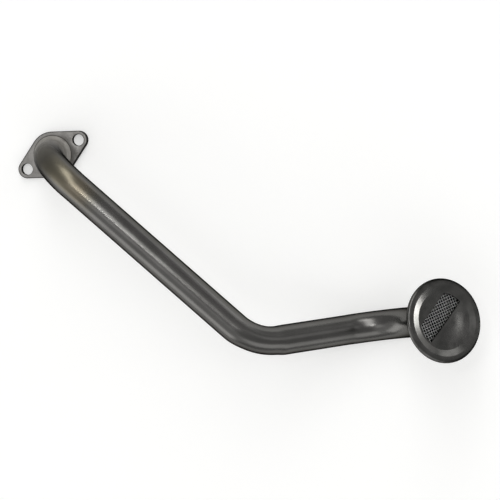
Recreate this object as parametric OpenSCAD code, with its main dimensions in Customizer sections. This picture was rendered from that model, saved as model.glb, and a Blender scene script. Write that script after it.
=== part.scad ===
// Oil pickup tube: a bolted flange, a suction tube with three bends and a screened bell.
// The mounting face is z = 0 with the tube's hole at the origin. The tube leaves along +Z,
// and the two bolt holes lie along X.

/* [Tube] */
// Outside diameter of the tube, mm
tube_d = 22; // [20:0.5:24]
// Wall of the tube, mm
tube_wall = 1.5; // [1:0.1:2]
// Straight neck from the mounting face to the first bend, mm
neck_len = 11.7; // [11:0.1:16]
// Room for braze between the tube and each hole and shoulder that it goes into, mm
tube_fit = 0.05; // [0.05:0.01:0.15]
// Height of the witness ring that the bending die left at each end of a bend, mm
die_mark = 0.05; // [0.03:0.01:0.1]
// Length of each witness ring, mm
die_len = 0.8; // [0.5:0.1:2]

/* [First bend] */
// Direction of the first bend about the neck, from the bolt line, degrees
turn_1 = -70; // [-80:1:-60]
// Angle of the first bend, degrees
angle_1 = 90; // [86:0.5:94]
// Centre-line radius of the first bend, mm
radius_1 = 33.5; // [30:0.5:40]
// Straight after the first bend, mm
run_1 = 154; // [120:1:190]

/* [Second bend] */
// Direction of the second bend about the tube, degrees
turn_2 = 58; // [50:1:70]
// Angle of the second bend, degrees
angle_2 = 52; // [46:0.5:60]
// Centre-line radius of the second bend, mm
radius_2 = 40; // [36:0.5:48]
// Straight after the second bend, mm
run_2 = 52.5; // [40:0.5:70]
// Depth that the bending former pressed into the inside of the second bend, mm
dent_depth = 1.6; // [0.8:0.1:2.2]
// Radius of the former that left the dent, mm
dent_r = 18; // [15:0.5:20]
// Place of the dent along the second bend, as a share of its angle
dent_at = 0.56; // [0.48:0.02:0.6]

/* [Third bend] */
// Direction of the third bend about the tube, degrees
turn_3 = 107; // [98:1:116]
// Angle of the third bend, degrees
angle_3 = 81; // [74:0.5:86]
// Centre-line radius of the third bend, mm
radius_3 = 44; // [40:0.5:50]
// Straight tube in sight between the third bend and the bell's collar, mm
tail_len = 4.7; // [3:0.1:10]

/* [Flange] */
// Thickness of the flange, mm
flange_t = 5; // [4:0.5:7]
// Distance between the two bolt holes, mm
bolt_pitch = 45; // [42:0.5:52]
// Diameter of each bolt hole, clear of an M8 bolt, mm
bolt_hole_d = 8.5; // [8.4:0.1:9]
// Metal left round each bolt hole, mm
ear_land = 2.65; // [2:0.05:4]
// Metal left round the braze well, mm
flange_land = 2.9; // [2:0.1:4]
// Set-in of the straight flanks from the round body and ears, mm
flank_in = 0.05; // [0.03:0.01:0.2]
// Diameter of the oil port in the mounting face, mm
port_d = 18; // [16:0.5:18.5]
// Thickness of the shoulder round the port that the end of the tube sits on, mm
shoulder_t = 1.2; // [0.8:0.1:2]

/* [Braze] */
// Width of the flange's braze fillet out from the tube, mm
flange_leg = 3.1; // [2.4:0.1:3.6]
// Depth of the well in the flange that the braze lies in, mm
well_depth = 0.8; // [0.4:0.1:1.4]
// Height of the flange's fillet at its outer edge, mm
flange_lip = 0.95; // [0.6:0.05:1.6]
// Width of the seam left open round the flange's fillet, mm
seam_gap = 0.2; // [0.1:0.05:0.4]
// Height of the bell's fillet at its outer edge, mm
bell_lip = 0.3; // [0.2:0.05:0.6]
// Thickness of each fillet where it runs out on the tube, mm
braze_toe = 0.25; // [0.15:0.05:0.4]

/* [Bell] */
// Diameter over the rolled rim, mm
rim_d = 60; // [56:1:64]
// Thickness of the bell's sheet, mm
bell_t = 1.5; // [1.2:0.1:1.8]
// Lean of the bell's axis from the tube's axis, degrees
bell_tilt = 5.5; // [0:0.5:8]
// Direction of that lean about the tube, degrees
bell_turn = -90; // [-180:5:180]
// Wall of the collar that takes the tube, mm
collar_wall = 1.2; // [1:0.1:1.6]
// Length of the collar behind the dome, mm
collar_len = 7; // [5:0.5:10]
// Length of tube that stands out into the bell, mm
tube_entry = 0.6; // [0.4:0.1:2]
// Step out from the dome's mouth to the seat of the screen, mm
seat_w = 2; // [1.6:0.1:2.4]

/* [Screen] */
// Thickness of the wire screen, mm
mesh_t = 0.9; // [0.7:0.1:1.2]
// Pitch of the gaps in the screen, mm
mesh_pitch = 2.2; // [2.1:0.1:3]
// Width of wire left between two gaps, mm
wire_w = 0.75; // [0.6:0.05:0.9]
// Turn of the wires against the slot, degrees
mesh_turn = -27; // [-45:1:45]

/* [Cover] */
// Thickness of the cover's sheet, mm
cover_t = 1.2; // [1:0.1:1.5]
// Width of the flat ring inside the rolled rim, mm
ring_w = 2.55; // [2:0.05:3]
// Width of the sloping band inside the flat ring, mm
band_w = 5; // [4:0.1:6]
// Depth of the slotted plate below the flat ring, mm
recess = 1.3; // [1:0.1:1.6]
// Reach of the rim's rolled lip behind the bell, mm
lip_w = 1.45; // [1:0.05:1.6]
// Width of the slot, mm
slot_w = 13.5; // [10:0.5:15]
// Distance of the slot's middle line from the plate's centre, mm
slot_off = 5.2; // [4:0.1:6.5]
// Turn of the slot about the bell's axis, degrees
slot_turn = -50; // [-180:1:180]
// Plate left between the slot's round ends and the sloping band, mm
slot_land = 0.9; // [0.6:0.1:1.5]
// Height of the pressed hood beside the slot, mm
hood_rise = 0.8; // [0.5:0.1:1.2]
// Width of the hood's sloping flank, mm
hood_flank = 2; // [1.5:0.1:3]
// Plate left between the hood and the sloping band, mm
hood_land = 2.4; // [2:0.1:4]

/* [Hidden] */
$fn = 96;
eps = 1;
tube_r = tube_d / 2;
hole_r = tube_r + tube_fit;
foot_z = shoulder_t + tube_fit;
braze_r = hole_r + flange_leg;
well_r = braze_r + seam_gap;
body_r = well_r + flange_land;
ear_r = bolt_hole_d / 2 + ear_land;
ear_x = bolt_pitch / 2;

// Rolled rim: the cover's sheet goes round the edge of the bell's flat flange.
bead_r = bell_t / 2 + cover_t;
bead_at = rim_d / 2 - bead_r;
ring_r = bead_at - ring_w;
plate_r = ring_r - band_w;
plate_z = cover_t - recess;
under_z = plate_z - cover_t;
seat_z = under_z - mesh_t;

// Dome: a ball about the point where the bell's axis crosses the tube's axis.
dome_r = plate_r + bell_t;
bowl_r = dome_r - bell_t;
mouth_r = sqrt(pow(bowl_r, 2) - pow(seat_z, 2));
seat_r = mouth_r + seat_w;
mesh_r = seat_r - tube_fit;
collar_r = hole_r + collar_wall;
collar_seat = sqrt(pow(dome_r, 2) - pow(collar_r, 2));
collar_back = collar_seat + collar_len;
tip_back = sqrt(pow(bowl_r, 2) - pow(tube_r, 2)) - tube_entry;
bell_reach = tail_len + collar_back;

// Each bend: direction about the tube, angle, centre-line radius, and the straight after it.
bends = [
    [turn_1, angle_1, radius_1, run_1],
    [turn_2, angle_2, radius_2, run_2],
    [turn_3, angle_3, radius_3, bell_reach],
];

slot_r = plate_r - slot_land;
slot_edge = slot_off - slot_w / 2;
hood_r = plate_r - hood_land;
gap_w = mesh_pitch - wire_w;
gap_reach = gap_w / sqrt(2);
gap_n = ceil(slot_r / mesh_pitch);

// Moves on to the frame at the start of bend k, or past the last straight for the bell.
module along(k) {
    if (k == 0) {
        translate([0, 0, neck_len]) children();
    } else {
        b = bends[k - 1];
        along(k - 1) rotate([0, 0, b[0]]) translate([b[2], 0, 0]) rotate([0, b[1], 0])
            translate([-b[2], 0, b[3]]) children();
    }
}

// The bell's own frame: z along its axis, 0 on the front of its flat flange.
module at_bell() {
    along(3) rotate([0, 0, bell_turn]) rotate([0, bell_tilt, 0]) children();
}

// One bend of a round bar, from +Z over towards +X before its own turn.
module bend_bar(b, r) {
    rotate([0, 0, b[0]]) translate([b[2], 0, 0]) rotate([90, 0, 180])
        rotate_extrude(angle = b[1]) translate([b[2], 0]) circle(r = r);
}

// The round former against the inside of the second bend, grown by the given amount.
module former(grow) {
    b = bends[1];
    out = b[2] - tube_r + dent_depth - dent_r;
    along(1) rotate([0, 0, b[0]]) translate([b[2], 0, 0]) rotate([0, b[1] * dent_at, 0])
        translate([-out, 0, 0]) rotate([90, 0, 0])
            cylinder(r = dent_r + grow, h = tube_d + eps, center = true);
}

// The whole run of the tube as a round bar, longer at both ends by the given amount.
module tube_bar(r, over) {
    translate([0, 0, foot_z - over]) cylinder(r = r, h = neck_len - foot_z + over);
    for (k = [0:2]) {
        run = bends[k][3];
        along(k) bend_bar(bends[k], r);
        along(k + 1) translate([0, 0, -run]) cylinder(r = r, h = k < 2 ? run : run - tip_back + over);
        along(k) cylinder(r = r + die_mark, h = die_len, center = true);
        along(k + 1) translate([0, 0, -run]) cylinder(r = r + die_mark, h = die_len, center = true);
    }
}

// Outline of a braze fillet: hollow flank between a lip and a toe on the tube.
module fillet_2d(leg, lip) {
    flank = leg - braze_toe;
    translate([hole_r, 0]) difference() {
        square([leg, lip + flank]);
        translate([leg, lip + flank]) circle(r = flank);
    }
}

// Outline of the flange: a round body and two ears joined along their common tangents.
module flange_2d() {
    lean = acos((body_r - ear_r) / ear_x);
    body_p = (body_r - flank_in) * [cos(lean), sin(lean)];
    ear_p = [ear_x, 0] + (ear_r - flank_in) * [cos(lean), sin(lean)];
    circle(r = body_r);
    for (side = [-1, 1]) translate([side * ear_x, 0]) circle(r = ear_r);
    polygon([
        [ear_p.x, -ear_p.y], [ear_p.x, ear_p.y], [body_p.x, body_p.y], [-body_p.x, body_p.y],
        [-ear_p.x, ear_p.y], [-ear_p.x, -ear_p.y], [-body_p.x, -body_p.y], [body_p.x, -body_p.y],
    ]);
}

module mounting_flange() {
    color("#77746d") difference() {
        linear_extrude(flange_t) flange_2d();
        translate([0, 0, -eps]) cylinder(d = port_d, h = flange_t + 2 * eps);
        translate([0, 0, shoulder_t]) cylinder(r = hole_r, h = flange_t);
        translate([0, 0, flange_t - well_depth]) cylinder(r = well_r, h = well_depth + eps);
        for (side = [-1, 1]) translate([side * ear_x, 0, -eps])
            cylinder(d = bolt_hole_d, h = flange_t + 2 * eps);
    }
}

module suction_tube() {
    color("#6f7072") difference() {
        tube_bar(tube_r, 0);
        former(0);
        difference() {
            tube_bar(tube_r - tube_wall, eps);
            former(tube_wall);
        }
    }
}

module flange_braze_fillet() {
    color("#8a7f68") translate([0, 0, flange_t - well_depth])
        rotate_extrude() fillet_2d(flange_leg, flange_lip);
}

// Outline of the bell in front of its dome: seat, sloping wall and flat flange.
module bell_mouth_2d() {
    wall_out = ring_r - seat_r;
    polygon([
        [mouth_r, seat_z],
        [seat_r, seat_z],
        [seat_r + wall_out, 0],
        [bead_at, 0],
        [bead_at, -bell_t],
        [seat_r + wall_out + bell_t / 2, -bell_t],
        [seat_r + bell_t / 2, seat_z - bell_t],
        [mouth_r, seat_z - bell_t],
    ]);
    translate([bead_at, -bell_t / 2]) circle(r = bell_t / 2 - tube_fit);
}

module pickup_bell() {
    color("#6b6c6e") difference() {
        union() {
            at_bell() rotate_extrude() {
                bell_mouth_2d();
                intersection() {
                    difference() {
                        circle(r = dome_r);
                        circle(r = bowl_r);
                    }
                    translate([0, -dome_r]) square([dome_r, dome_r + seat_z]);
                }
            }
            along(3) translate([0, 0, -collar_back]) cylinder(r = collar_r, h = collar_len + bell_t);
        }
        along(3) translate([0, 0, -collar_back - eps]) cylinder(r = hole_r, h = collar_back + eps);
        along(3) sphere(r = bowl_r);
    }
}

module bell_braze_fillet() {
    color("#8a7f68") along(3) translate([0, 0, -collar_back]) mirror([0, 0, 1])
        rotate_extrude() fillet_2d(collar_wall, bell_lip);
}

module wire_screen() {
    color("#5d5e60") at_bell() rotate([0, 0, slot_turn]) difference() {
        translate([0, 0, seat_z]) cylinder(r = mesh_r, h = mesh_t);
        for (i = [-gap_n:gap_n], j = [-gap_n:gap_n]) {
            x = mesh_pitch * (i * cos(mesh_turn) - j * sin(mesh_turn));
            y = mesh_pitch * (i * sin(mesh_turn) + j * cos(mesh_turn));
            if (norm([x, y]) + gap_reach < slot_r && abs(y - slot_off) + gap_reach < slot_w / 2)
                translate([x, y, seat_z + mesh_t / 2]) rotate([0, 0, mesh_turn])
                    cube([gap_w, gap_w, mesh_t + eps], center = true);
        }
    }
}

// Outline of the cover: slotted plate, sloping band, flat ring and rolled rim.
module cover_2d() {
    polygon([
        [0, plate_z],
        [plate_r, plate_z],
        [ring_r, cover_t],
        [bead_at, cover_t],
        [bead_at, 0],
        [ring_r, 0],
        [plate_r, under_z],
        [0, under_z],
    ]);
    translate([bead_at, -bell_t / 2]) intersection() {
        difference() {
            circle(r = bead_r);
            circle(r = bell_t / 2);
        }
        translate([0, -bead_r]) square([bead_r, 2 * bead_r]);
    }
    translate([bead_at - lip_w, -bell_t - cover_t]) square([lip_w, cover_t]);
}

// The raised hood beside the slot as a block, from below the given height to its flat top.
module hood_block(z, below) {
    intersection() {
        rotate_extrude() polygon([
            [0, z - below],
            [hood_r, z - below],
            [hood_r, z],
            [hood_r - hood_flank, z + hood_rise],
            [0, z + hood_rise],
        ]);
        translate([-plate_r, -plate_r, z - below])
            cube([2 * plate_r, plate_r + slot_edge, below + hood_rise]);
    }
}

module screen_cover() {
    color("#66676a") at_bell() rotate([0, 0, slot_turn]) difference() {
        union() {
            rotate_extrude() cover_2d();
            hood_block(plate_z, cover_t / 2);
        }
        hood_block(under_z, eps);
        translate([0, 0, under_z - eps]) linear_extrude(cover_t + hood_rise + 2 * eps) intersection() {
            circle(r = slot_r);
            translate([-slot_r, slot_edge]) square([2 * slot_r, slot_w]);
        }
    }
}

mounting_flange();
suction_tube();
flange_braze_fillet();
pickup_bell();
bell_braze_fillet();
wire_screen();
screen_cover();
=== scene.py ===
"""Oil pickup tube dressed for the picture: surfaces, finishes, floor, light and camera."""

import logging
import math
from dataclasses import dataclass
from enum import Enum
from typing import Callable

import bmesh
import bpy
import numpy as np
from mathutils import Matrix, Vector
from mathutils.geometry import delaunay_2d_cdt


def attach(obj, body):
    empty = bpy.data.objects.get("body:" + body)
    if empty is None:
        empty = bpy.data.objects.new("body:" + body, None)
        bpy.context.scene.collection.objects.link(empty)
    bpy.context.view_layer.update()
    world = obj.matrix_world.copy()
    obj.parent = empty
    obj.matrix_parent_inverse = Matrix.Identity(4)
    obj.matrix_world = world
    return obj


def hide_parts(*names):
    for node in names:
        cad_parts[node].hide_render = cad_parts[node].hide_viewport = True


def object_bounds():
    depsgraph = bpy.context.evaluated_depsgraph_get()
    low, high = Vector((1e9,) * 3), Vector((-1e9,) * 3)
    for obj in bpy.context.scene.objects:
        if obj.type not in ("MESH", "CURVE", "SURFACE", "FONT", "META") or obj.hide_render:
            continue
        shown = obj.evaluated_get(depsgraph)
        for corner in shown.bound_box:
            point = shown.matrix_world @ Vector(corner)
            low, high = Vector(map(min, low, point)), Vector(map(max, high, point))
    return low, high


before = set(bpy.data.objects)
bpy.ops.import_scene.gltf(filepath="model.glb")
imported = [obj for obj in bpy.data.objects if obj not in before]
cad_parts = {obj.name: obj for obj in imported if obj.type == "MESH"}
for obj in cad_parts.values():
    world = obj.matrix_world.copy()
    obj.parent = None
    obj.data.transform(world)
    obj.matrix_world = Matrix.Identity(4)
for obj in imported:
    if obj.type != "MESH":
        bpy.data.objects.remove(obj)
CAD_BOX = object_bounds()
LOG = logging.getLogger("oil_pickup")
MM = 0.001
TAU = 2.0 * math.pi
# Lengths that count as none: an edge, in metres, and a gap between the points of a fill, in millimetres.
NO_EDGE, NO_GAP = 1e-8, 1e-7
# The fill's own number for: keep what is inside the outline, and leave the holes open.
INSIDE_WITH_HOLES = 2
# Attributes of the meshes: the tube laid out straight, and how dark a point is painted as painted shade.
ALONG, PAINTED_SHADE = "along_tube", "painted_shade_share"
Array = np.ndarray
Colour = tuple[float, float, float, float]
Piece = bpy.types.Object
Socket = bpy.types.NodeSocket
Span = tuple[float, float]
Tree = bpy.types.NodeTree
Triple = tuple[float, float, float]


class Slot(Enum):
    """Material slots of the part's record."""

    FLANGE = "flange_steel"
    TUBE = "tube_steel"
    BRAZE = "braze"
    BELL = "bell_steel"
    WIRE = "screen_wire"
    COVER = "cover_steel"


def spin(degrees: float, one: int = 0, two: int = 1) -> Array:
    """Rotation matrix that turns one axis towards another.

    Args:
        degrees: Angle of the turn.
        one: Number of the axis that turns, with 0, 1 and 2 for X, Y and Z.
        two: Number of the axis that it turns towards.

    Returns:
        A 3 by 3 matrix.
    """
    c, s = math.cos(math.radians(degrees)), math.sin(math.radians(degrees))
    made = np.eye(3)
    made[one, one], made[two, two], made[one, two], made[two, one] = c, c, -s, s
    return made


def ease(x: Array) -> Array:
    """Smooth step: 0 below 0, 1 above 1 and 3x2 - 2x3 between."""
    t = np.clip(x, 0.0, 1.0)
    return t * t * (3.0 - 2.0 * t)


def arc(centre: Span, radius: float, start: float, end: float, steps: int) -> Array:
    """Rows of (across, up) on an arc about a centre, from a start to an end angle in degrees."""
    a = np.radians(np.linspace(start, end, steps))
    return np.column_stack([centre[0] + radius * np.cos(a), centre[1] + radius * np.sin(a)])


def circle(steps: int) -> Array:
    """Rows of x, y on the unit circle, evenly spaced."""
    t = np.linspace(0.0, TAU, steps, endpoint=False)
    return np.column_stack([np.cos(t), np.sin(t)])


def add_object(data: bpy.types.ID, axes: Array = np.eye(3), at: Array = np.zeros(3)) -> Piece:
    """Puts a mesh, a lamp or a camera into the scene under its own name.

    Args:
        data: What the object holds.
        axes: Its axes, as columns in the part's frame.
        at: Where it is, in metres.

    Returns:
        The object.
    """
    made, world = bpy.data.objects.new(data.name, data), np.eye(4)
    world[:3, :3], world[:3, 3] = axes, at
    made.matrix_world = Matrix(world.tolist())
    bpy.context.scene.collection.objects.link(made)
    return made


class Shell:
    """Collects grids and flat fills in millimetres and makes one closed mesh of them."""

    def __init__(self) -> None:
        """Starts with no points and no faces."""
        self.points: list[Array] = []
        self.faces: list[Array] = []
        self.count: int = 0

    def add(self, points: Array, faces: Array) -> None:
        """Adds points and the faces that index them.

        Args:
            points: Rows of x, y, z.
            faces: Rows of 3 or 4 indices into points.
        """
        self.points.append(points)
        self.faces.append(faces + self.count)
        self.count += len(points)

    def grid(self, points: Array, ring: bool = False) -> None:
        """Adds a surface sampled on a grid of two parameters, closed in the second of them.

        Args:
            points: Array of shape (u, v, 3).
            ring: Closes it in the first as well.
        """
        nu, nv = points.shape[:2]
        cells = np.meshgrid(np.arange(nu if ring else nu - 1), np.arange(nv), indexing="ij")
        i, j = (k.ravel() for k in cells)
        a, b = (i + 1) % nu, (j + 1) % nv
        quads = np.column_stack([i * nv + j, a * nv + j, a * nv + b, i * nv + b])
        self.add(points.reshape(-1, 3), quads)

    def rod(self, points: Array) -> None:
        """Adds a rod made of rings, with a fan of triangles over each end.

        Args:
            points: Array of shape (rings, points to a ring, 3).
        """
        self.grid(points)
        j = np.arange(1, points.shape[1] - 1)
        fan = np.column_stack([0 * j, j, j + 1])
        self.add(points[0], fan)
        self.add(points[-1], fan[:, ::-1])

    def fill(self, loops: list[Array], z: float) -> None:
        """Fills the flat between an outline and the loops inside it with triangles.

        Args:
            loops: The outline first, then each hole, as rows of x, y.
            z: Height of the flat.
        """
        ends = np.cumsum([0] + [len(loop) for loop in loops])
        rings = [list(range(a, b)) for a, b in zip(ends[:-1], ends[1:])]
        edges = [pair for ring in rings for pair in zip(ring, ring[1:] + ring[:1])]
        flat = [Vector(p) for p in np.vstack(loops).tolist()]
        made = delaunay_2d_cdt(flat, edges, rings, INSIDE_WITH_HOLES, NO_GAP)
        self.add(np.array([[p[0], p[1], z] for p in made[0]]), np.array([list(f) for f in made[2]]))

    def build(self, name: str, merge: float = 1e-4, sharp: float = 32.0) -> Piece:
        """Makes the mesh: doubles merged, normals outward, smooth but for sharp edges.

        Args:
            name: Name of the piece.
            merge: Distance in millimetres under which points are one; 0 keeps them all.
            sharp: Angle in degrees above which an edge stays sharp.

        Returns:
            The object, at the origin, with its place in its mesh.
        """
        mesh = bpy.data.meshes.new(name)
        faces = [row for block in self.faces for row in block.tolist()]
        mesh.from_pydata((np.vstack(self.points) * MM).tolist(), [], faces)
        if merge > 0.0:
            work = bmesh.new()
            work.from_mesh(mesh)
            bmesh.ops.remove_doubles(work, verts=work.verts[:], dist=merge * MM)
            bmesh.ops.dissolve_degenerate(work, edges=work.edges[:], dist=NO_EDGE)
            bmesh.ops.recalc_face_normals(work, faces=work.faces[:])
            work.to_mesh(mesh)
            work.free()
        mesh.polygons.foreach_set("use_smooth", np.ones(len(mesh.polygons), bool))
        mesh.set_sharp_from_angle(angle=math.radians(sharp))
        return add_object(mesh)


@dataclass(frozen=True)
class Place:
    """A frame: its origin in millimetres and the three axes as columns."""

    at: Array
    axes: Array

    def put(self, points: Array) -> Array:
        """Points of this frame in the part's frame."""
        return points @ self.axes.T + self.at

    def revolve(self, profile: Array, steps: int) -> Array:
        """Carries a profile round this frame's Z axis: (r cos t, r sin t, z).

        Args:
            profile: Rows of radius and height.
            steps: Number of points round the circle.

        Returns:
            Array of shape (profile, steps, 3).
        """
        c, s = circle(steps).T
        r, z = profile[:, :1], profile[:, 1:]
        return self.put(np.stack([r * c, r * s, z + 0.0 * c], axis=-1))


def linear(code: str) -> Colour:
    """Turns an sRGB hex colour into linear light.

    Args:
        code: Six hex digits after a hash.

    Returns:
        Red, green, blue and full alpha.
    """
    c = np.array([int(code[i:i + 2], 16) / 255.0 for i in (1, 3, 5)])
    lin = np.where(c <= 0.04045, c / 12.92, ((c + 0.055) / 1.055) ** 2.4)
    return (*lin.tolist(), 1.0)


def fresh_tree(owner: bpy.types.ID) -> Tree:
    """Gives a material or a world an empty node tree.

    Args:
        owner: The new material or world.

    Returns:
        The tree.
    """
    owner.use_nodes = True
    owner.node_tree.nodes.clear()
    return owner.node_tree


def add_node(tree: Tree, kind: str, values: dict, **settings: object) -> bpy.types.Node:
    """Adds a node with its settings and links.

    Args:
        tree: The node tree.
        kind: Blender's name of the node type.
        values: Input sockets by name or number; an output socket is linked, anything else is set.
        **settings: Properties of the node.

    Returns:
        The node.
    """
    node = tree.nodes.new(kind)
    for key, value in settings.items():
        setattr(node, key, value)
    for key, value in values.items():
        if isinstance(value, Socket):
            tree.links.new(value, node.inputs[key])
        else:
            node.inputs[key].default_value = value
    return node


def mix(tree: Tree, share: Socket, first: Colour | Socket, second: Colour | Socket) -> Socket:
    """The socket of a blend of two colours, where a share of 0 gives the first and 1 the second."""
    # In its colour mode the node takes the colours at 6 and 7 and gives the blend at 2.
    return add_node(tree, "ShaderNodeMix", {0: share, 6: first, 7: second}, data_type="RGBA").outputs[2]


def maths(tree: Tree, operation: str, first: Socket, second: float | Socket) -> Socket:
    """The socket of an operation on two values."""
    return add_node(tree, "ShaderNodeMath", {0: first, 1: second}, operation=operation).outputs[0]


def remap(tree: Tree, value: Socket, span: Span, to: Span = (0.0, 1.0), smooth: bool = False) -> Socket:
    """Carries a span of a value over to another span, and holds it at both ends.

    Args:
        tree: The node tree.
        value: The socket of the value.
        span: The value's first and last.
        to: What those two become.
        smooth: Eases in and out.

    Returns:
        The socket of the result.
    """
    return add_node(tree, "ShaderNodeMapRange", {
        "Value": value, "From Min": span[0], "From Max": span[1], "To Min": to[0], "To Max": to[1],
    }, interpolation_type="SMOOTHSTEP" if smooth else "LINEAR").outputs["Result"]


def noise(tree: Tree, where: Socket, scale: float, detail: float, roughness: float) -> Socket:
    """The socket of cloudy noise about 0.5, with detail as the number of its finer layers."""
    values = {"Vector": where, "Scale": scale, "Detail": detail, "Roughness": roughness}
    return add_node(tree, "ShaderNodeTexNoise", values).outputs["Fac"]


@dataclass(frozen=True)
class Steel:
    """A bare metal finish: two tints in patches, fine lines or grit, and a half gloss.

    The patches are oil on mill scale. The grain is what the die or the press left. The edge tint
    is what the metal mirrors at a glance, and a dark one draws the thin outlines of oiled metal.
    """

    name: str
    dark: str
    light: str
    stain: str
    roughness: float
    rough_spread: float
    patch_mm: float
    grain_mm: Triple
    grain_rise_mm: float
    stain_share: float
    edge: str = "#404040"
    metallic: float = 1.0
    fleck_size: float = 0.35
    patch_span: Span = (0.32, 0.68)
    fleck_span: Span = (0.58, 0.74)
    grain_span: Span = (0.3, 0.7)

    def coordinates(self, tree: Tree) -> Socket:
        """The coordinates, in metres, that the pattern lies in."""
        return add_node(tree, "ShaderNodeTexCoord", {}).outputs["Object"]

    def tint(self, tree: Tree, where: Socket) -> Socket:
        """Colour of the metal: broad patches of two tints, with flecks of stain.

        Args:
            tree: The material's node tree.
            where: Coordinates in metres.

        Returns:
            The colour's socket.
        """
        scale = 1.0 / (self.patch_mm * MM)
        patch = noise(tree, where, scale, detail=4.0, roughness=0.6)
        plain = mix(tree, remap(tree, patch, self.patch_span), linear(self.dark), linear(self.light))
        fleck = noise(tree, where, scale / self.fleck_size, detail=5.0, roughness=0.7)
        stained = remap(tree, fleck, self.fleck_span, (0.0, self.stain_share))
        return mix(tree, stained, plain, linear(self.stain))

    def bareness(self, tree: Tree, where: Socket) -> float | Socket:
        """How much of the surface is bare metal and not dull scale."""
        return self.metallic

    def gloss(self, tree: Tree, where: Socket, rough: Socket) -> Socket:
        """Roughness of the surface, from that of its grain."""
        return rough

    def material(self) -> bpy.types.Material:
        """Builds the procedural material.

        Returns:
            A metal with patches in its tint and grain in its gloss and relief.
        """
        made = bpy.data.materials.new(self.name)
        tree = fresh_tree(made)
        where = self.coordinates(tree)
        fine = add_node(tree, "ShaderNodeMapping", {
            "Vector": where, "Scale": [1.0 / (g * MM) for g in self.grain_mm],
        })
        grain = noise(tree, fine.outputs["Vector"], 1.0, detail=3.0, roughness=0.55)
        spread = (self.roughness - self.rough_spread, self.roughness + self.rough_spread)
        relief = add_node(tree, "ShaderNodeBump", {
            "Height": grain, "Distance": self.grain_rise_mm * MM, "Strength": 1.0,
        })
        metal = add_node(tree, "ShaderNodeBsdfPrincipled", {
            "Base Color": self.tint(tree, where), "Metallic": self.bareness(tree, where),
            "Roughness": self.gloss(tree, where, remap(tree, grain, self.grain_span, spread)),
            "Normal": relief.outputs["Normal"], "Specular Tint": linear(self.edge),
        })
        add_node(tree, "ShaderNodeOutputMaterial", {"Surface": metal.outputs["BSDF"]})
        return made


@dataclass(frozen=True)
class HeatedTubeWithPaintedLight(Steel):
    """Drawn tube whose first bend took the heat of the brazing: dull scale, then temper colours and painted
    light.

    The flame came from one side, the lit one, so past the scale the colours fade round the tube. The
    ramp's darker stops paint shade over the elbow's top, its lighter stops a highlight on the lit side.
    Spans lie along the tube, in millimetres from the mounting face.
    """

    # Partly temper colours and partly painted light: the darker stops at 32 and 40 mm are painted shade over
    # the elbow's top, and the lighter, warmer stops at 54 and 72 mm a painted highlight on the lit side.
    temper_and_painted_light: tuple[tuple[float, str], ...] = (
        (0.0, "#8a8782"), (20.0, "#7d7a75"), (32.0, "#696762"), (40.0, "#5d5b56"), (54.0, "#7a7566"),
        (72.0, "#756e61"), (82.0, "#67655e"), (96.0, "#626160"),
    )
    temper_and_light_fade: Span = (76.8, 96.0)
    scale_fade: Span = (9.2, 46.0)
    dull_fade: Span = (8.6, 86.0)
    dull: float = 0.55
    hot_and_lit_side: float = 98.0
    hot_and_lit_reach: Span = (6.6, 10.2)

    def coordinates(self, tree: Tree) -> Socket:
        """The tube laid out straight, with the distance from the mounting face as Z."""
        return add_node(tree, "ShaderNodeAttribute", {}, attribute_name=ALONG).outputs["Vector"]

    def along(self, tree: Tree, where: Socket, span: Span, smooth: bool = True) -> Socket:
        """The socket of the share of the way through a span of the tube, eased where it is smooth."""
        split = add_node(tree, "ShaderNodeSeparateXYZ", {0: where})
        return remap(tree, split.outputs["Z"], (span[0] * MM, span[1] * MM), smooth=smooth)

    def plain_share(self, tree: Tree, where: Socket, span: Span) -> Socket:
        """Share of the metal that neither the heat's mark nor the painted light covers: far along the tube,
        or away from the hot, lit side.

        Args:
            tree: The material's node tree.
            where: Coordinates in metres.
            span: Where the heat's mark and the painted light fade along the tube.

        Returns:
            The share's socket.
        """
        hot_and_lit = spin(self.hot_and_lit_side)[:, 0].tolist()
        side = add_node(tree, "ShaderNodeVectorMath", {0: where, 1: hot_and_lit}, operation="DOT_PRODUCT")
        reach = (self.hot_and_lit_reach[0] * MM, self.hot_and_lit_reach[1] * MM)
        cool_and_unlit = remap(tree, side.outputs["Value"], reach, (1.0, 0.0), smooth=True)
        past = maths(tree, "MULTIPLY", cool_and_unlit, self.bareness(tree, where))
        return maths(tree, "MAXIMUM", past, self.along(tree, where, span))

    def tint(self, tree: Tree, where: Socket) -> Socket:
        """The drawn metal's colour, with the ramp of temper colours and painted light over it as far as the
        heat went.

        Args:
            tree: The material's node tree.
            where: Coordinates in metres.

        Returns:
            The colour's socket.
        """
        end = self.temper_and_painted_light[-1][0]
        ramp = add_node(tree, "ShaderNodeValToRGB", {0: self.along(tree, where, (0.0, end), smooth=False)})
        stops = ramp.color_ramp.elements
        for at, _ in self.temper_and_painted_light[1:-1]:
            stops.new(at / end)
        for stop, (_, colour) in zip(stops, self.temper_and_painted_light):
            stop.color = linear(colour)
        plain_share = self.plain_share(tree, where, self.temper_and_light_fade)
        return mix(tree, plain_share, ramp.outputs["Color"], super().tint(tree, where))

    def bareness(self, tree: Tree, where: Socket) -> float | Socket:
        """Scale at the braze that gives way to bare metal."""
        return self.along(tree, where, self.scale_fade)

    def gloss(self, tree: Tree, where: Socket, rough: Socket) -> Socket:
        """Dull at the braze, and glossy once the heat is left behind."""
        share = self.plain_share(tree, where, self.dull_fade)
        return add_node(tree, "ShaderNodeMix", {0: share, 2: self.dull, 3: rough}).outputs[0]


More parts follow.
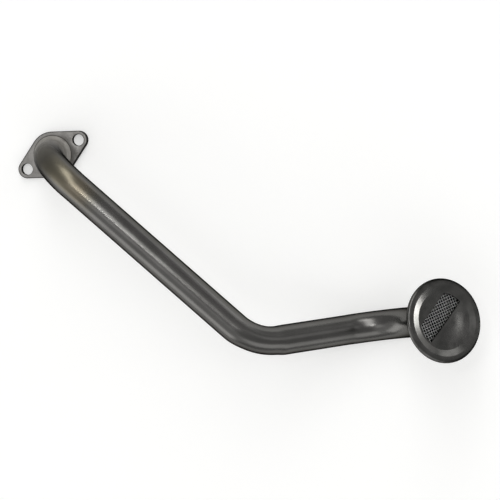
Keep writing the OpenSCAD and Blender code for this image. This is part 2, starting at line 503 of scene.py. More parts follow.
@dataclass(frozen=True)
class ShadedSheet(Steel):
    """Pressed sheet painted near black where the painted shade attribute says so; on the flange it also
    stands for the dark of sheared metal.
    """

    # Near black of the painted shade.
    painted_shade: str = "#171716"

    def tint(self, tree: Tree, where: Socket) -> Socket:
        """The sheet's colour, with the painted shade over it."""
        share = add_node(tree, "ShaderNodeAttribute", {}, attribute_name=PAINTED_SHADE).outputs["Fac"]
        return mix(tree, share, super().tint(tree, where), linear(self.painted_shade))


# Cold-drawn steel tube with a film of oil: even dark grey, half gloss, faint lines along its run.
DRAWN_TUBE = HeatedTubeWithPaintedLight(
    name="cold_drawn_steel_oiled", dark="#62615f", light="#6b6a68", stain="#545250", roughness=0.25,
    rough_spread=0.01, patch_mm=26.0, grain_mm=(1.8, 1.8, 90.0), grain_rise_mm=0.001, stain_share=0.3,
)
# Stamped plate, tumbled: warmer and duller, with grit of half a millimetre, and sheared walls painted black,
# as painted shade and as the dark of sheared metal.
STAMPED_PLATE = ShadedSheet(
    name="stamped_steel_tumbled", dark="#888683", light="#979592", stain="#6b6965", roughness=0.42,
    rough_spread=0.06, patch_mm=3.0, grain_mm=(0.5, 0.5, 0.5), grain_rise_mm=0.008, stain_share=0.6,
    edge="#8a8a8a",
)
# Braze fed by hand: dull grey metal with a hint of brown that has flowed, with soft lumps.
FLOWED_BRAZE = Steel(
    name="furnace_braze_dull", dark="#95928d", light="#a29f99", stain="#807c75", roughness=0.55,
    rough_spread=0.06, patch_mm=4.0, grain_mm=(1.2, 1.2, 1.2), grain_rise_mm=0.015, stain_share=0.4,
    edge="#b0b0b0", metallic=0.3,
)
# Deep-drawn sheet with a film of oil: dark grey and glossy, and painted nearly black in the bowl as painted
# shade.
PRESSED_BELL = ShadedSheet(
    name="deep_drawn_sheet_oiled", dark="#5e5d5c", light="#686765", stain="#4e4c48", roughness=0.26,
    rough_spread=0.04, patch_mm=14.0, grain_mm=(0.7, 0.7, 0.7), grain_rise_mm=0.003, stain_share=0.3,
    edge="#7a7a7a",
)
# Pressed cover in the same oil: darker and smoother, with smudges on its plate and its roll painted black as
# painted shade.
PRESSED_COVER = ShadedSheet(
    name="pressed_sheet_oiled", dark="#535351", light="#6a6967", stain="#454440", roughness=0.22,
    rough_spread=0.015, patch_mm=9.0, grain_mm=(1.6, 1.6, 1.6), grain_rise_mm=0.0004, stain_share=0.35,
    edge="#505050",
)
# Drawn wire of the screen: paler than the sheet, since the weave is burnished.
WOVEN_WIRE = Steel(
    name="drawn_wire_woven", dark="#a2a2a1", light="#b2b2b1", stain="#868685", roughness=0.34,
    rough_spread=0.05, patch_mm=5.0, grain_mm=(0.2, 0.2, 0.2), grain_rise_mm=0.002, stain_share=0.3,
)


def dress(piece: Piece, finish: Steel, slot: Slot, *nodes: str) -> Piece:
    """Gives a piece its finish and ties it to the CAD nodes that it stands for.

    Args:
        piece: The finished mesh object.
        finish: What it is made of.
        slot: Its slot in the record; not used.
        *nodes: CAD nodes that the piece replaces.

    Returns:
        The same piece.
    """
    found = bpy.data.materials.get(finish.name) or finish.material()
    piece.data.materials.clear()
    piece.data.materials.append(found)
    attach(piece, "root")
    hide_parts(*nodes)
    LOG.info("%s: %d faces, %s", piece.name, len(piece.data.polygons), finish.name)
    return piece


def paint_shade(piece: Piece, painted_shade: Callable[[Array], Array]) -> None:
    """Writes how dark each point of a piece is painted, as painted shade, from 0 for none to 1 for black.

    Args:
        piece: The finished mesh object.
        painted_shade: Gives the share of painted shade at rows of x, y, z in millimetres.
    """
    place = np.empty(3 * len(piece.data.vertices), np.float32)
    piece.data.vertices.foreach_get("co", place)
    layer = piece.data.attributes.new(PAINTED_SHADE, "FLOAT", "POINT")
    layer.data.foreach_set("value", painted_shade(place.reshape(-1, 3) / MM).astype(np.float32))


@dataclass(frozen=True)
class Bend:
    """One bend: its turn about the tube, its angle, its radius and the straight after it."""

    turn: float
    angle: float
    radius: float
    run: float


@dataclass(frozen=True)
class Route:
    """Centre line of the tube from the shoulder in the flange to the middle of the bell."""

    start: float = 1.25
    neck: float = 11.7
    bends: tuple[Bend, ...] = (
        Bend(-70.0, 90.0, 33.5, 154.0),
        Bend(58.0, 52.0, 40.0, 52.5),
        Bend(107.0, 81.0, 44.0, 29.97),
    )

    def marks(self) -> list[Span]:
        """Where the bends are.

        Returns:
            Distance from the mounting face to the start and the end of each bend, mm.
        """
        out, s = [], self.neck
        for b in self.bends:
            e = s + b.radius * math.radians(b.angle)
            out.append((s, e))
            s = e + b.run
        return out

    def inside(self) -> list[float]:
        """Direction of the inside of each bend about the tube, in radians, in the carried frame."""
        return np.cumsum([math.radians(b.turn) for b in self.bends]).tolist()

    def end(self) -> float:
        """Distance from the mounting face to the middle of the bell, mm."""
        return self.marks()[-1][1] + self.bends[-1].run

    def bell(self) -> Place:
        """Finds the middle of the bell.

        Returns:
            The frame there, with Z along the tube and X inside the last bend.
        """
        p, *axes = self.carry(np.array([self.end()]))
        turned = spin(sum(b.turn for b in self.bends))
        return Place(p[0], np.column_stack([a[0] for a in axes]) @ turned)

    def carry(self, s: Array) -> tuple[Array, Array, Array, Array]:
        """Carries a frame along the centre line without twist.

        A bend turns the frame by its arc over its radius, and a straight moves it on. A sample that
        lies before a bend is left as it is.

        Args:
            s: Distances from the mounting face, mm.

        Returns:
            Points, and the frame's X, Y and Z axes at each of them, as rows.
        """
        x, y, z = (np.tile(axis, (len(s), 1)) for axis in np.eye(3))
        p = np.minimum(s, self.neck)[:, None] * z
        for bend, (start, end), turn in zip(self.bends, self.marks(), self.inside()):
            c, q = math.cos(turn), math.sin(turn)
            to, hinge = c * x + q * y, c * y - q * x
            a = np.clip((s - start) / bend.radius, 0.0, math.radians(bend.angle))[:, None]
            p = p + bend.radius * (np.sin(a) * z + (1.0 - np.cos(a)) * to)
            to, z = np.cos(a) * to - np.sin(a) * z, np.cos(a) * z + np.sin(a) * to
            x, y = c * to - q * hinge, q * to + c * hinge
            p = p + np.clip(s - end, 0.0, bend.run)[:, None] * z
        return p, x, y, z


@dataclass
class SuctionTube:
    """The drawn tube: a round section carried along the route, pressed out of round in its bends."""

    route: Route
    outer_d: float = 22.0
    wall: float = 1.5
    tip_back: float = 16.70
    round_steps: int = 112
    pitch: float = 1.3
    ovality: Triple = (0.012, 0.014, 0.012)
    oval_fade: Span = (2.0, 9.0)
    flat: float = 0.75
    flat_power: float = 2.2
    flat_in: Span = (2.0, 12.0)
    flat_out: Span = (2.5, 6.0)
    dent: float = 1.7
    dent_at: float = 0.56
    dent_r: float = 18.0
    dent_soft: float = 0.06
    dent_tail: float = 0.4

    def squeeze(self, s: Array, t: Array) -> Array:
        """Change of radius, mm, at a distance along the tube and an angle about it.

        Each bend adds an oval of two lobes that fades in and out at its ends. The middle bend
        also has the flat of its stretched outside and the hollow of the former on its inside.
        A fade is how far from the bend's end it lies and over what length it eases.

        Args:
            s: Distances, as a column.
            t: Angles, as a row.

        Returns:
            One change for each pair.
        """
        out = np.zeros(np.broadcast(s, t).shape)
        marks, inside, half = self.route.marks(), self.route.inside(), 0.5 * self.outer_d
        lead, over = self.oval_fade
        for (a, b), to, share in zip(marks, inside, self.ovality):
            fade = ease((s - a + lead) / over) * ease((b + lead - s) / over)
            out = out - half * share * fade * np.cos(2.0 * (t - to))
        (a, b), to, radius = marks[1], inside[1], self.route.bends[1].radius
        fade = ease((s - a - self.flat_in[0]) / self.flat_in[1])
        fade = fade * ease((b + self.flat_out[0] - s) / self.flat_out[1])
        out = out - self.flat * fade * np.clip(-np.cos(t - to), 0.0, 1.0) ** self.flat_power
        # The former is a cylinder across the bend: it cuts a flat-bottomed hollow that is as
        # deep as its arc stands past the tube's inner line.
        mid = a + self.dent_at * (b - a)
        away = (radius - half) * (s - mid) / radius
        room = self.dent - away**2 * 0.5 * (1.0 / self.dent_r - 1.0 / (radius - half))
        over = half * np.cos(t - to) - (half - room)
        soft = 0.5 * (over + np.sqrt(over**2 + self.dent_soft))
        soft = soft * np.clip(room + self.dent_tail, 0.0, 1.0)
        return out - soft * np.clip(np.cos(t - to), 0.0, 1.0)

    def skin(self, radius: float, s: Array) -> tuple[Array, Array]:
        """A wall of the tube: centre line + radius (cos t X + sin t Y).

        Args:
            radius: Radius of the round section.
            s: Distances along the tube.

        Returns:
            The wall as (s, t, 3), and the same points with the tube laid out straight.
        """
        p, x, y, _ = self.route.carry(s)
        t = np.linspace(0.0, TAU, self.round_steps, endpoint=False)[None, :]
        r = (radius + self.squeeze(s[:, None], t))[..., None]
        wall = p[:, None] + r * (np.cos(t)[..., None] * x[:, None] + np.sin(t)[..., None] * y[:, None])
        laid = np.broadcast_arrays(radius * np.cos(t), radius * np.sin(t), s[:, None])
        return wall, np.stack(laid, axis=-1)

    def build(self) -> Piece:
        """Outer wall, inner wall and the two ends between them as one ring-shaped surface.

        Returns:
            The dressed tube.
        """
        first, last = self.route.start, self.route.end() - self.tip_back
        s = np.linspace(first, last, int((last - first) / self.pitch))
        # The bore has half as many rings, and its last one closes the first end.
        back = s[::-1][::2].copy()
        back[-1] = first
        out, out_laid = self.skin(0.5 * self.outer_d, s)
        bore, bore_laid = self.skin(0.5 * self.outer_d - self.wall, back)
        shell = Shell()
        shell.grid(np.concatenate([out, bore]), ring=True)
        piece = shell.build("suction_tube_drawn", merge=0.0)
        laid = np.concatenate([out_laid, bore_laid]) * MM
        layer = piece.data.attributes.new(ALONG, "FLOAT_VECTOR", "POINT")
        layer.data.foreach_set("vector", laid.astype(np.float32).ravel())
        return dress(piece, DRAWN_TUBE, Slot.TUBE, "suction_tube")


@dataclass
class MountingFlange:
    """The stamped two-bolt plate with broken edges, its well for the braze and its port."""

    thick: float = 5.0
    bolt_pitch: float = 45.0
    bolt_d: float = 8.5
    ear_r: float = 6.9
    body_r: float = 17.25
    well_r: float = 14.35
    well_depth: float = 0.8
    well_edge: float = 0.25
    hole_r: float = 11.05
    port_r: float = 9.0
    shoulder: float = 1.2
    top_edge: float = 0.9
    low_edge: float = 0.35
    hole_edge: float = 0.35
    # Painted shade on the sheared walls, also for the dark of sheared metal: its share, and how far under
    # the top face it comes in fully.
    sheared_wall_shade: float = 0.9
    sheared_wall_shade_depth: float = 0.108
    ear_steps: int = 49
    body_steps: int = 41
    line_steps: int = 11
    port_steps: int = 144
    bolt_steps: int = 64

    def outline(self) -> tuple[Array, Array]:
        """Round body and two ears joined along their common tangents.

        The half with the right ear is worked out, and the rest is its image through the middle.

        Returns:
            Points of the outline, anticlockwise, and the outward direction at each.
        """
        half = 0.5 * self.bolt_pitch
        lean = math.acos((self.body_r - self.ear_r) / half)
        ear = np.linspace(-lean, lean, self.ear_steps)
        body = np.linspace(lean, math.pi - lean, self.body_steps)
        line = np.linspace(0.0, 1.0, self.line_steps + 2)[1:-1]
        way = np.concatenate([ear, 0.0 * line + lean, body, 0.0 * line + math.pi - lean])
        right = np.column_stack([half + self.ear_r * np.cos(ear), self.ear_r * np.sin(ear)])
        top = self.body_r * np.column_stack([np.cos(body), np.sin(body)])
        up = right[-1] + line[:, None] * (top[0] - right[-1])
        down = top[-1] + line[:, None] * (-right[0] - top[-1])
        points, out = np.vstack([right, up, top, down]), np.column_stack([np.cos(way), np.sin(way)])
        return np.vstack([points, -points]), np.vstack([out, -out])

    def painted_shade(self, points: Array) -> Array:
        """Share of painted shade at each point: none on the two flats, near black on the sheared walls, for
        their shade and for the dark of sheared metal.
        """
        z = points[:, 2]
        return self.sheared_wall_shade * ease((self.thick - z) / self.sheared_wall_shade_depth) * (z > 0.5 * self.low_edge)

    def build(self) -> Piece:
        """Edge profile carried round the outline, holes revolved, and the two flats filled.

        Returns:
            The dressed flange.
        """
        shell = Shell()
        rim, out = self.outline()
        e, f, h, w, t = self.top_edge, self.low_edge, self.hole_edge, self.well_edge, self.thick
        edge = np.vstack([arc((-f, f), f, -90.0, 0.0, 5), arc((-e, t - e), e, 0.0, 90.0, 7)])
        flat = rim + edge[:, :1, None] * out
        shell.grid(np.dstack([flat, np.broadcast_to(edge[:, 1:], flat.shape[:2])]))
        floor = t - self.well_depth
        port = np.vstack([
            arc((self.port_r + h, h), h, 270.0, 180.0, 4),
            [[self.port_r, self.shoulder], [self.hole_r, self.shoulder]],
            [[self.hole_r, floor], [self.well_r, floor]],
            arc((self.well_r + w, t - w), w, 180.0, 90.0, 4),
        ])
        r, half = 0.5 * self.bolt_d, 0.5 * self.bolt_pitch
        bolt = np.vstack([arc((r + h, h), h, 270.0, 180.0, 4), arc((r + h, t - h), h, 180.0, 90.0, 4)])
        tops, lows = [rim - e * out], [rim - f * out]
        holes = ((0.0, port, self.port_steps), (-half, bolt, self.bolt_steps), (half, bolt, self.bolt_steps))
        for x, profile, steps in holes:
            shell.grid(Place(np.array([x, 0.0, 0.0]), np.eye(3)).revolve(profile, steps))
            lows.append(circle(steps) * profile[0, 0] + [x, 0.0])
            tops.append(circle(steps) * profile[-1, 0] + [x, 0.0])
        shell.fill(tops, t)
        shell.fill(lows, 0.0)
        piece = shell.build("mounting_flange_stamped", sharp=40.0)
        paint_shade(piece, self.painted_shade)
        return dress(piece, STAMPED_PLATE, Slot.FLANGE, "mounting_flange")


@dataclass
class BrazeFillet:
    """A ring of braze: a hollow flank between a lip and a toe, with the ripple of a hand-fed flow."""

    name: str
    node: str
    place: Place
    hole_r: float
    leg: float
    lip: float
    toe: float = 0.25
    ripple: float = 0.036
    waves: tuple[Triple, ...] = ((1.0, 3.0, 0.7), (0.6, 7.0, 2.1), (0.4, 13.0, 0.0))
    pit: float = 0.0
    pit_at: float = 0.0
    pit_width: float = 0.10
    pit_slant: float = 0.4
    lip_share: float = 0.6
    swell: Span = (0.15, 0.95)
    steps: int = 144

    def build(self) -> Piece:
        """Profile in (radius, height) revolved, its flank lifted by waves round the ring.

        A wave has a height, a count to the turn and a phase. The pit is a bell curve.

        Returns:
            The dressed fillet.
        """
        flank, foot = self.leg - self.toe, self.hole_r + self.leg
        hollow = arc((foot, self.lip + flank), flank, 270.0, 180.0, 15)
        base = [[self.hole_r, self.lip + flank], [self.hole_r, 0.0], [foot, 0.0],
                [foot, self.lip_share * self.lip]]
        profile = np.vstack([base, hollow])
        t = np.linspace(0.0, TAU, self.steps, endpoint=False)[None, :]
        wave = self.ripple * sum(height * np.sin(count * t + phase) for height, count, phase in self.waves)
        share = np.zeros((len(profile), 1))
        share[len(base):-1, 0] = np.sin(np.linspace(*self.swell, len(hollow) - 1) * math.pi)
        gap = np.angle(np.exp(1j * (t - self.pit_at)))
        sink = self.pit * np.exp(-((gap / self.pit_width) ** 2))
        r = profile[:, :1] + share * (wave - self.pit_slant * sink)
        z = np.clip(profile[:, 1:] + share * (wave - sink), 0.0, self.lip + flank)
        shell = Shell()
        ring = np.stack([r * np.cos(t), r * np.sin(t), z], axis=-1)
        shell.grid(self.place.put(ring), ring=True)
        return dress(shell.build(self.name, merge=0.0, sharp=45.0), FLOWED_BRAZE, Slot.BRAZE, self.node)


@dataclass
class Bell:
    """The pressed bell: collar about the tube, round dome, seat, sloping wall and flat flange."""

    tube: Place
    mouth: Place
    dome_r: float = 22.0
    sheet: float = 1.5
    hole_r: float = 11.05
    collar_r: float = 12.25
    collar_back: float = 25.27
    seat_r: float = 22.38
    seat_z: float = -2.2
    ring_r: float = 25.5
    bead_at: float = 28.05
    blend: float = 2.2
    collar_edge: float = 0.3
    knee: Span = (0.2, 0.25)
    rim_slack: float = 0.05
    # Painted shade in the bowl behind the screen: its share, and how far inside the dome's outer surface it
    # starts, in sheet thicknesses.
    bowl_shade: float = 0.95
    bowl_skin: float = 0.6
    steps: int = 128

    def rows(self) -> tuple[Array, Array]:
        """Profile of the bell as circles, out from the collar's back, over the rim and in again.

        Each row is a radius, a height along the row's axis and how far that axis leans from the
        tube's axis (0) to the bell's own (1). The dome is a ball about the point where the two
        axes cross, so the rows may lean on it without leaving it.

        Returns:
            Rows of radius and height, and the lean of each row.
        """
        bowl = self.dome_r - self.sheet
        # Fillet between collar and dome: a circle that touches both.
        u = self.collar_r + self.blend
        low = math.sqrt((self.dome_r + self.blend) ** 2 - u**2)
        touch = math.degrees(math.atan2(low, u))
        root = arc((u, -low), self.blend, 180.0, 180.0 - touch, 7)
        edge = -math.degrees(math.asin((self.sheet - self.seat_z) / self.dome_r))
        dome = arc((0.0, 0.0), self.dome_r, -touch, edge, 25)[1:]
        back = [[self.hole_r, -self.collar_back], [self.collar_r - self.collar_edge, -self.collar_back],
                [self.collar_r, -self.collar_back + self.collar_edge]]
        half, foot, (reach, climb) = 0.5 * self.sheet, self.seat_z - self.sheet, self.knee
        under = [[self.seat_r + half - reach, foot], [self.seat_r + half + reach, foot + climb],
                 [self.ring_r + half, -self.sheet]]
        rim = arc((self.bead_at, -half), half - self.rim_slack, -90.0, 90.0, 9)
        mouth = math.sqrt(bowl**2 - self.seat_z**2)
        front = [[self.ring_r, 0.0], [self.seat_r, self.seat_z], [mouth, self.seat_z]]
        tip = math.degrees(math.acos(self.hole_r / bowl))
        inner = arc((0.0, 0.0), bowl, -math.degrees(math.asin(-self.seat_z / bowl)), -tip, 17)[1:]
        rows = np.vstack([back, root, dome, under, rim, front, inner])
        own = len(under) + len(rim) + len(front)
        lean = np.concatenate([
            np.zeros(len(back) + len(root)), ease(np.linspace(0.0, 1.0, len(dome))), np.ones(own),
            ease(np.linspace(1.0, 0.0, len(inner))),
        ])
        return rows, lean

    def painted_shade(self, points: Array) -> Array:
        """Share of painted shade at each point: the bowl behind the screen is painted nearly black."""
        off = np.linalg.norm(points - self.mouth.at, axis=1)
        return self.bowl_shade * (off < self.dome_r - self.bowl_skin * self.sheet)

    def build(self) -> Piece:
        """Loft of circles: centre + r (cos t X + sin t Y), its axis leaning from tube to bell.

        Returns:
            The dressed bell.
        """
        rows, lean = self.rows()
        a, b = self.tube.axes[:, 2], self.mouth.axes[:, 2]
        z = a + lean[:, None] * (b - a)
        z /= np.linalg.norm(z, axis=1, keepdims=True)
        x = self.mouth.axes[:, 0] - (z @ self.mouth.axes[:, 0])[:, None] * z
        x /= np.linalg.norm(x, axis=1, keepdims=True)
        y = np.cross(z, x)
        c, s = circle(self.steps).T[:, None, :, None]
        r, h = rows[:, 0][:, None, None], rows[:, 1][:, None, None]
        ring = self.mouth.at + h * z[:, None] + r * (c * x[:, None] + s * y[:, None])
        shell = Shell()
        shell.grid(ring, ring=True)
        piece = shell.build("pickup_bell_pressed", merge=1e-5)
        paint_shade(piece, self.painted_shade)
        return dress(piece, PRESSED_BELL, Slot.BELL, "pickup_bell")


@dataclass
class WireScreen:
    """Plain weave of round wire in a disc: each wire rides over and under those that cross it."""

    mouth: Place
    radius: float = 22.2
    pitch: float = 2.0
    wire_d: float = 0.45
    crimp: float = 0.9
    middle_z: float = -1.75
    turn: float = -77.0
    sides: int = 8
    per_pitch: int = 6

    def strands(self, flip: float) -> Array:
        """Wires of one direction.

        A wire at distance v from the middle has the height A cos(pi (u / pitch + k)), with k its
        number, so that it passes over one cross wire and under the next.

        Args:
            flip: 1 for the warp and -1 for the weft, which is woven half a turn out of step.

        Returns:
            Points of each wire's skin as (wire, along, round, 3), with the wires along X.
        """
        n = int(self.radius / self.pitch)
        k = np.arange(-n, n + 1)
        v = k * self.pitch
        reach = np.sqrt(self.radius**2 - v**2)
        steps = int(2 * self.radius / self.pitch * self.per_pitch)
        u = np.linspace(-1.0, 1.0, steps)[None, :] * reach[:, None]
        rise = 0.5 * self.wire_d * self.crimp
        phase = math.pi * (u / self.pitch + k[:, None])
        z = flip * rise * np.cos(phase)
        slope = -flip * rise * math.pi / self.pitch * np.sin(phase)
        t = np.linspace(0.0, TAU, self.sides, endpoint=False)[None, None, :]
        r, norm = 0.5 * self.wire_d, np.sqrt(1.0 + slope**2)[..., None]
        x = u[..., None] - r * np.sin(t) * slope[..., None] / norm
        y = v[:, None, None] + r * np.cos(t) + 0.0 * x
        return np.stack([x, y, z[..., None] + r * np.sin(t) / norm], axis=-1)

    def build(self) -> Piece:
        """Both directions of wire, with the cut ends closed.

        Returns:
            The dressed screen.
        """
        shell = Shell()
        for flip, across in ((1.0, 0.0), (-1.0, 90.0)):
            wires = self.strands(flip) + [0.0, 0.0, self.middle_z]
            for wire in self.mouth.put(wires @ spin(self.turn + across).T):
                shell.rod(wire)
        piece = shell.build("wire_screen_woven", merge=1e-5, sharp=60.0)
        return dress(piece, WOVEN_WIRE, Slot.WIRE, "wire_screen")


@dataclass
class ScreenCover:
    """The pressed cover: rolled rim, flat ring, sloping band, and a plate with a slot and a hood."""

    bell: Bell
    sheet: float = 1.2
    plate_r: float = 20.5
    plate_z: float = -0.1
    lip: float = 1.45
    slot_r: float = 19.6
    slot_w: float = 13.5
    slot_off: float = 5.2
    slot_turn: float = -50.0
    hood_r: float = 18.1
    hood_rise: float = 0.8
    hood_flank: float = 12.0
    foot_gap: float = 0.3
    foot_r: float = 1.4
    brow_r: float = 1.6
    # Painted shade on the roll: the way round the rim where it is darkest, the lean of the roll's surface
    # over which it comes in, in degrees, and how far round the rim it reaches.
    shade_at: float = -74.0
    shade_lean: Span = (79.0, 98.0)
    shade_reach: Span = (0.75, 0.9)
    steps: int = 192
    plate_steps: tuple[int, int] = (97, 49)

    def rim(self) -> Array:
        """Closed profile of the ring outside the slot, with rolled corners.

        Returns:
            Rows of radius and height.
        """
        bell = self.bell
        bead, mid = 0.5 * bell.sheet + self.sheet, -0.5 * bell.sheet
        low, under = -bell.sheet - self.sheet, self.plate_z - self.sheet
        drop = math.degrees(math.atan2(self.sheet - self.plate_z, bell.ring_r - self.plate_r))
        # The two corners of the band are arcs that touch it and the flat beside it.
        bite = math.tan(math.radians(0.5 * drop))
        foot = self.plate_r + self.foot_gap - self.foot_r * bite
        brow = bell.ring_r + self.brow_r * bite
        return np.vstack([
            [[self.slot_r, self.plate_z]],
            arc((foot, self.plate_z + self.foot_r), self.foot_r, 270.0, 270.0 + drop, 6),
            arc((brow, self.sheet - self.brow_r), self.brow_r, 90.0 + drop, 90.0, 6),
            arc((bell.bead_at, mid), bead, 90.0, -90.0, 25),
            [[bell.bead_at - self.lip, low], [bell.bead_at - self.lip, low + self.sheet]],
            arc((bell.bead_at, mid), 0.5 * bell.sheet, -90.0, 90.0, 13),
            [[bell.ring_r, 0.0], [self.plate_r, under], [self.slot_r, under]],
        ])

    def segment(self, shell: Shell, edge: float, side: float, hooded: bool) -> None:
        """Adds one side of the plate: the part of a disc between the slot's edge and its rim.

        A point is mixed from the slot's straight edge to the arc behind it. The hood's smooth flank
        climbs inward from its rim to a flat top.

        Args:
            shell: Where the faces go.
            edge: Distance of the slot's edge from the middle of the plate.
            side: -1 for the side below the edge and 1 for the one above it.
            hooded: Whether this side has the hood.
        """
        half = math.acos(side * edge / self.slot_r)
        u = np.linspace(-1.0, 1.0, self.plate_steps[0])[:, None]
        v = np.linspace(0.0, 1.0, self.plate_steps[1])[None, :]
        chord = math.sqrt(self.slot_r**2 - edge**2) * u
        bow_x, bow_y = self.slot_r * np.sin(half * u), side * self.slot_r * np.cos(half * u)
        x, y = (1.0 - v) * chord + v * bow_x, (1.0 - v) * edge + v * bow_y
        lift = hooded * self.hood_rise * ease((self.hood_r - np.hypot(x, y)) / self.hood_flank)
        top = np.stack([x, y, self.plate_z + lift], axis=-1)
        low = top - [0.0, 0.0, self.sheet]
        whole = np.concatenate([top, low[:, ::-1]], axis=1)
        shell.grid(self.bell.mouth.put(whole @ spin(self.slot_turn).T))

    def painted_shade(self, points: Array) -> Array:
        """Share of painted shade at each point: none on the front, black on the roll's steep outer side,
        most towards one way round the rim.

        Args:
            points: Rows of x, y, z in millimetres.

        Returns:
            A share for each point.
        """
        bell = self.bell
        own = (points - bell.mouth.at) @ bell.mouth.axes
        out = np.hypot(own[:, 0], own[:, 1]) - bell.bead_at
        lean = np.degrees(np.arctan2(own[:, 2] + 0.5 * bell.sheet, out))
        turn = np.arctan2(own[:, 1], own[:, 0]) - math.radians(self.shade_at)
        roll = ease((self.shade_lean[1] - lean) / (self.shade_lean[1] - self.shade_lean[0]))
        reach = ease(self.shade_reach[0] + self.shade_reach[1] * np.cos(turn))
        return roll * reach * (out > bell.ring_r - bell.bead_at)

    def build(self) -> Piece:
        """Ring revolved, and the two sides of the plate laid into it.

        Returns:
            The dressed cover.
        """
        shell = Shell()
        shell.grid(self.bell.mouth.revolve(self.rim(), self.steps), ring=True)
        self.segment(shell, self.slot_off - 0.5 * self.slot_w, -1.0, hooded=True)
        self.segment(shell, self.slot_off + 0.5 * self.slot_w, 1.0, hooded=False)
        piece = shell.build("screen_cover_pressed", merge=1e-6, sharp=40.0)
        paint_shade(piece, self.painted_shade)
        return dress(piece, PRESSED_COVER, Slot.COVER, "screen_cover")


@dataclass(frozen=True)
class Eye:
    """The camera: how the part's frame turns into the picture's, where it is and how far it zooms."""

    turn: Triple = (0.0466, -0.1401, 0.5058)
    shift: Triple = (-147.3, 71.83, -1200.0)
    focal_px: float = 1595.5
    frame_px: float = 500.0
    sensor_mm: float = 36.0
    clip_m: Span = (0.05, 20.0)

    def axes(self) -> Array:
        """Right, up and towards the camera, as columns in the part's frame."""
        v = Vector(self.turn)
        return np.array(Matrix.Rotation(v.length, 3, v.normalized())).T

    def place(self) -> None:
        """Makes the camera and sets it as the scene's."""
        axes = self.axes()
        lens = bpy.data.cameras.new("picture_camera")
        lens.sensor_width = self.sensor_mm
        lens.lens = self.focal_px / self.frame_px * self.sensor_mm
        lens.clip_start, lens.clip_end = self.clip_m
        bpy.context.scene.camera = add_object(lens, axes, -axes @ np.array(self.shift) * MM)


@dataclass(frozen=True)
class Softbox:
    """A studio lamp, placed by the picture's own right, up and towards, and aimed at the part."""

    name: str
    way: Triple
    away: float
    size: Span
    power: float
    lean: float = 0.0

    def place(self, eye: Eye, middle: Array) -> None:
        """Hangs the lamp.

        Args:
            eye: The camera whose axes the lamp is placed by.
            middle: What it is aimed at, in metres.
        """
        lamp = bpy.data.lights.new(self.name, "AREA")
        lamp.shape, lamp.energy = "RECTANGLE", self.power
        lamp.size, lamp.size_y = self.size
        # The lamp shines along its own -Z. Its X lies along the picture's right, turned by lean.
        z = np.array(self.way) / np.linalg.norm(self.way)
        x = spin(self.lean)[:, 0]
        x = x - (x @ z) * z
        x /= np.linalg.norm(x)
        axes = eye.axes() @ np.column_stack([x, np.cross(z, x), z])
        add_object(lamp, axes, middle + self.away * axes[:, 2])


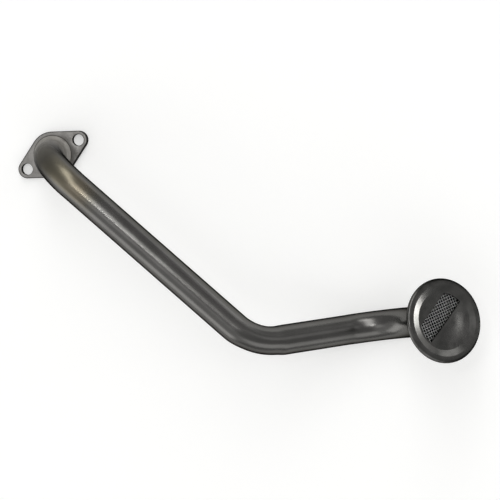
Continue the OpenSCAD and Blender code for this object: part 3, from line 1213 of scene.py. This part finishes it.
@dataclass(frozen=True)
class Studio:
    """A plain pale floor, a soft sky and the softboxes."""

    floor_tint: str = "#d6d6d5"
    floor_lift: float = 0.66
    floor_rough: float = 0.9
    floor_half: float = 6.0
    sky: str = "#ffffff"
    sky_level: float = 0.34
    boxes: tuple[Softbox, ...] = (
        Softbox("key_overhead", (-0.24, 1.0, 1.5), 1.82, (0.58, 1.8), 9.5),
        Softbox("strip_overhead", (-0.33, 0.17, 1.5), 1.55, (0.20, 0.10), 1.1, lean=-41.0),
        Softbox("fill_top", (0.03, 0.85, 0.50), 1.5, (0.4, 0.5), 1.15),
        Softbox("fill_top_left", (-0.44, -0.13, 0.91), 1.5, (0.5, 0.5), 0.55),
        Softbox("fill_left", (-0.70, -0.50, 0.50), 1.5, (2.1, 1.9), 3.4),
        Softbox("fill_left_low", (-0.80, -0.54, 0.16), 1.5, (1.6, 0.8), 4.6),
        Softbox("fill_low", (0.25, -0.80, 0.55), 1.5, (1.4, 0.8), 3.4),
        Softbox("fill_right", (0.52, 0.20, 0.83), 1.5, (0.5, 0.5), 0.35),
        Softbox("rim_upper_right", (0.74, 0.60, 0.30), 1.2, (0.5, 0.6), 1.2),
        Softbox("edge_right", (1.0, 0.0, 0.16), 0.6, (0.10, 0.09), 0.38),
    )

    def floor(self) -> Piece:
        """A flat square under the part, pale and quite matt.

        Returns:
            The floor.
        """
        mesh = bpy.data.meshes.new("floor")
        p = np.array([[-1, -1, 0], [1, -1, 0], [1, 1, 0], [-1, 1, 0]]) * self.floor_half
        mesh.from_pydata(p.tolist(), [], [[0, 1, 2, 3]])
        paint = bpy.data.materials.new("matt_white_paint")
        tree = fresh_tree(paint)
        # Seen by the camera or mirrored by the metal, the paint is lifted to white; it still
        # takes the part's shadow, and it lights the part no more than its colour does.
        ray = add_node(tree, "ShaderNodeLightPath", {})
        seen = ray.outputs["Is Camera Ray"]
        for kind in ("Is Glossy Ray", "Is Transmission Ray"):
            seen = maths(tree, "MAXIMUM", seen, ray.outputs[kind])
        coat = add_node(tree, "ShaderNodeBsdfPrincipled", {
            "Base Color": linear(self.floor_tint), "Roughness": self.floor_rough,
            "Emission Color": linear(self.floor_tint),
            "Emission Strength": maths(tree, "MULTIPLY", seen, self.floor_lift),
        })
        add_node(tree, "ShaderNodeOutputMaterial", {"Surface": coat.outputs["BSDF"]})
        mesh.materials.append(paint)
        return add_object(mesh)

    def light(self, eye: Eye) -> None:
        """Sets the sky and hangs the softboxes.

        Args:
            eye: The camera whose axes they are placed by.
        """
        world = bpy.data.worlds.new("studio_sky")
        tree = fresh_tree(world)
        sky = add_node(tree, "ShaderNodeBackground", {"Color": linear(self.sky), "Strength": self.sky_level})
        add_node(tree, "ShaderNodeOutputWorld", {"Surface": sky.outputs["Background"]})
        bpy.context.scene.world = world
        middle = np.array([0.5 * (a + b) for a, b in zip(*CAD_BOX)])
        for box in self.boxes:
            box.place(eye, middle)


@dataclass
class OilPickup:
    """The whole part: the route of the tube and every piece on it."""

    route: Route = Route()
    bell_turn: float = -90.0
    bell_tilt: float = 5.5

    def build(self) -> list[Piece]:
        """Builds and dresses the pieces in the order in which they are put together.

        Returns:
            The seven pieces.
        """
        tube = self.route.bell()
        mouth = Place(tube.at, tube.axes @ spin(self.bell_turn) @ spin(self.bell_tilt, 2, 0))
        flange, bell = MountingFlange(), Bell(tube, mouth)
        seat = Place(np.array([0.0, 0.0, flange.thick - flange.well_depth]), np.eye(3))
        # The second fillet stands on the end of the bell's collar and faces back along the tube.
        back = Place(tube.at - bell.collar_back * tube.axes[:, 2], tube.axes @ np.diag([1.0, -1.0, -1.0]))
        return [
            flange.build(),
            SuctionTube(self.route).build(),
            BrazeFillet("flange_braze_flowed", "flange_braze_fillet", seat, hole_r=flange.hole_r, leg=3.1,
                        lip=0.95, pit=0.7, pit_at=math.radians(20.0)).build(),
            bell.build(),
            BrazeFillet("bell_braze_flowed", "bell_braze_fillet", back, hole_r=bell.hole_r, leg=1.2,
                        lip=0.3, ripple=0.015).build(),
            WireScreen(mouth).build(),
            ScreenCover(bell).build(),
        ]


def main() -> None:
    """Builds the part and its studio."""
    logging.basicConfig(level=logging.INFO, format="%(name)s: %(message)s")
    pieces = OilPickup().build()
    LOG.info("%d pieces", len(pieces))
    studio, eye = Studio(), Eye()
    studio.floor()
    studio.light(eye)
    eye.place()
    bpy.context.scene.view_settings.view_transform = "Standard"


if __name__ == "__main__":
    main()
